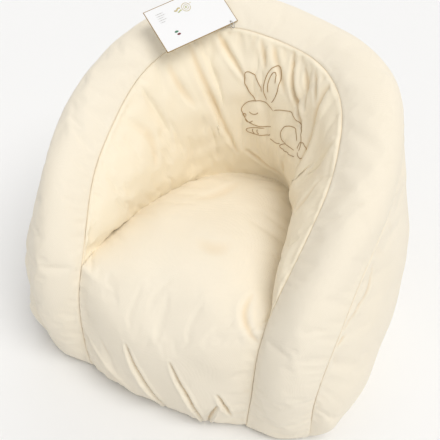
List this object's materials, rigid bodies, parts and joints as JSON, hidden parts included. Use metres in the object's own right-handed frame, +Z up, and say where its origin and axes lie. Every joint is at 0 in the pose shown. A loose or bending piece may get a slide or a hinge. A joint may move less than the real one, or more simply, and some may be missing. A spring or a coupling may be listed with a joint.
{
  "type": "toddler armchair",
  "caption": "Low soft tub armchair for a toddler: a padded horseshoe bolster round a seat, in a sewn cover that zips off, with a card hang tag.",
  "frame": {"origin": "on the floor under the chair's flat base, midway between the arms, 20 mm behind the upright axis of its round foot", "axes": "+Z up, -Y towards the front of the seat, +X towards the sitter's left arm"},
  "size_m": [0.5306, 0.4894, 0.4808],
  "materials": {
    "cream_cotton": "matte brushed cotton, fine weave",
    "base_cotton": "plain heavy cotton",
    "fibre_wadding": "loose polyester fibre",
    "foam": "open-cell polyurethane foam",
    "zip_tape": "ribbed polyester tape",
    "nylon_coil": "moulded nylon coil",
    "enamelled_metal": "cream enamel on zinc",
    "white_card": "coated card",
    "clear_plastic": "clear nylon string",
    "label_satin": "woven satin ribbon"
  },
  "bodies": {
    "chair": {"band_panel": "cream_cotton", "outer_panel": "cream_cotton", "lining_panel": "cream_cotton", "seat_panel": "cream_cotton", "base_panel": "base_cotton", "bolster_foam": "foam", "seat_foam": "foam", "lining_wadding": "fibre_wadding", "seat_wadding": "fibre_wadding", "zip_tape_lower": "zip_tape", "zip_tape_upper": "zip_tape", "zip_coil_lower": "nylon_coil", "zip_coil_upper": "nylon_coil", "zip_stop_closed": "enamelled_metal", "zip_stop_open": "enamelled_metal", "care_label": "label_satin", "tag_loop": "clear_plastic"},
    "slider": {"zip_slider": "enamelled_metal"},
    "pull": {"zip_pull": "enamelled_metal"},
    "tag": {"tag_card": "white_card"}
  },
  "joints": [
    {"name": "zip_travel", "type": "hinge", "parent": "chair", "child": "slider", "pos_m": [0, -0.02, 0.0244], "axis": [0, 0, 1], "range_deg": [-2.8, 95.6]},
    {"name": "pull_swing", "type": "hinge", "parent": "slider", "child": "pull", "pos_m": [0.18755, 0.15834, 0.0244], "axis": [0, 0, -1], "range_deg": [0, 150]},
    {"name": "tag_swing", "type": "hinge", "parent": "chair", "child": "tag", "pos_m": [-0.05074, 0.11563, 0.44534], "axis": [0.5362, 0.8324, 0.1401], "range_deg": [0, 150]}
  ]
}
